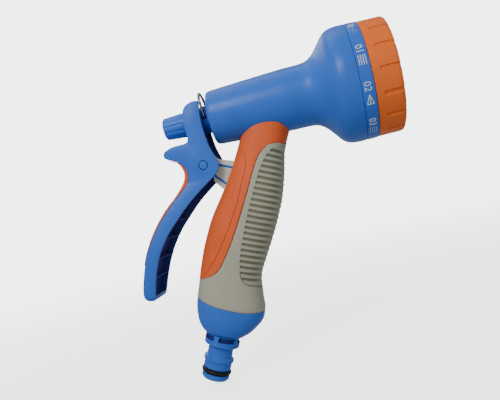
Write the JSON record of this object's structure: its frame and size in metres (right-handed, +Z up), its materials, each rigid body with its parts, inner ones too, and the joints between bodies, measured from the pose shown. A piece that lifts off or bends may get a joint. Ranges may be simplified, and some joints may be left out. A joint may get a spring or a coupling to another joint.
{
  "type": "hose spray nozzle",
  "caption": "Rear-trigger watering pistol with a rotating multi-pattern head, soft-grip handle, flow knob, hold-open wire bail and quick-connect hose inlet.",
  "frame": {"origin": "centre of the hose inlet's end face", "axes": "+X along the spray direction, parallel to the barrel axis; +Z up, away from the inlet; the XZ plane is the plane of symmetry of the housings"},
  "size_m": [0.1611, 0.0644, 0.1808],
  "materials": {
    "blue_plastic": "moulded ABS, semi-gloss",
    "orange_grip": "soft-touch overmould, satin",
    "orange_bumper": "thermoplastic elastomer, satin",
    "beige_grip": "soft-touch overmould, satin",
    "steel": "bright drawn wire and turned stainless steel",
    "brass": "turned",
    "black_rubber": "moulded seal rubber",
    "grey_plastic": "moulded acetal"
  },
  "bodies": {
    "body": {"barrel_shell": "blue_plastic", "rear_gland": "blue_plastic", "gland_nut": "grey_plastic", "stem_o_ring": "black_rubber", "water_tube": "grey_plastic", "valve_seat": "grey_plastic", "distributor": "grey_plastic", "bell_o_ring": "black_rubber", "port_seal": "black_rubber", "detent_spring": "steel", "return_spring": "steel", "dial_screw": "steel", "screw_washer": "steel", "handle_core": "blue_plastic", "grip_orange": "orange_grip", "grip_beige": "beige_grip", "arm_skin": "beige_grip", "base_cap": "blue_plastic", "inlet_connector": "blue_plastic", "inlet_o_ring": "black_rubber", "inlet_washer": "black_rubber", "trigger_pin": "blue_plastic"},
    "trigger": {"trigger_lever": "blue_plastic", "trigger_pad": "orange_grip"},
    "valve": {"valve_rod": "steel", "spring_collar": "steel", "valve_plug": "black_rubber", "plug_nut": "brass"},
    "knob": {"flow_knob": "blue_plastic", "knob_insert": "brass"},
    "dial": {"pattern_disc": "grey_plastic", "label_ring": "blue_plastic", "bumper_ring": "orange_bumper", "spray_cup": "blue_plastic", "spray_plate": "blue_plastic", "shower_disc": "grey_plastic", "jet_nozzle": "beige_grip", "cone_nozzle": "beige_grip", "mist_nozzle": "beige_grip", "flat_nozzle": "beige_grip", "centre_nozzle": "beige_grip"},
    "bail": {"lock_bail": "steel"},
    "detent": {"detent_pin": "steel"}
  },
  "joints": [
    {"name": "trigger_squeeze", "type": "hinge", "parent": "body", "child": "trigger", "pos_m": [0.0226, 0, 0.1195], "axis": [0, -1, 0], "range_deg": [0, 15], "stiffness_Nm_per_rad": 1.5, "springref_deg": -14.32},
    {"name": "valve_slide", "type": "slide", "parent": "body", "child": "valve", "axis": [-1, 0, 0], "range_m": [0, 0.007], "deforming": ["return_spring"]},
    {"name": "knob_turn", "type": "hinge", "parent": "valve", "child": "knob", "pos_m": [0.012, 0, 0.1458], "axis": [1, 0, 0], "range_deg": [-180, 180]},
    {"name": "dial_turn", "type": "hinge", "parent": "body", "child": "dial", "pos_m": [0.12, 0, 0.1458], "axis": [1, 0, 0], "continuous": true},
    {"name": "bail_swing", "type": "hinge", "parent": "body", "child": "bail", "pos_m": [0.0283, 0, 0.1462], "axis": [0, -1, 0], "range_deg": [-9, 20]},
    {"name": "detent_slide", "type": "slide", "parent": "body", "child": "detent", "axis": [-1, 0, 0], "range_m": [0, 0.0008], "stiffness_N_per_m": 400, "springref_m": -0.004, "deforming": ["detent_spring"]}
  ],
  "couplings": [
    {"joint": "valve_slide", "follows": "trigger_squeeze", "m_per_rad": 0.0263}
  ]
}
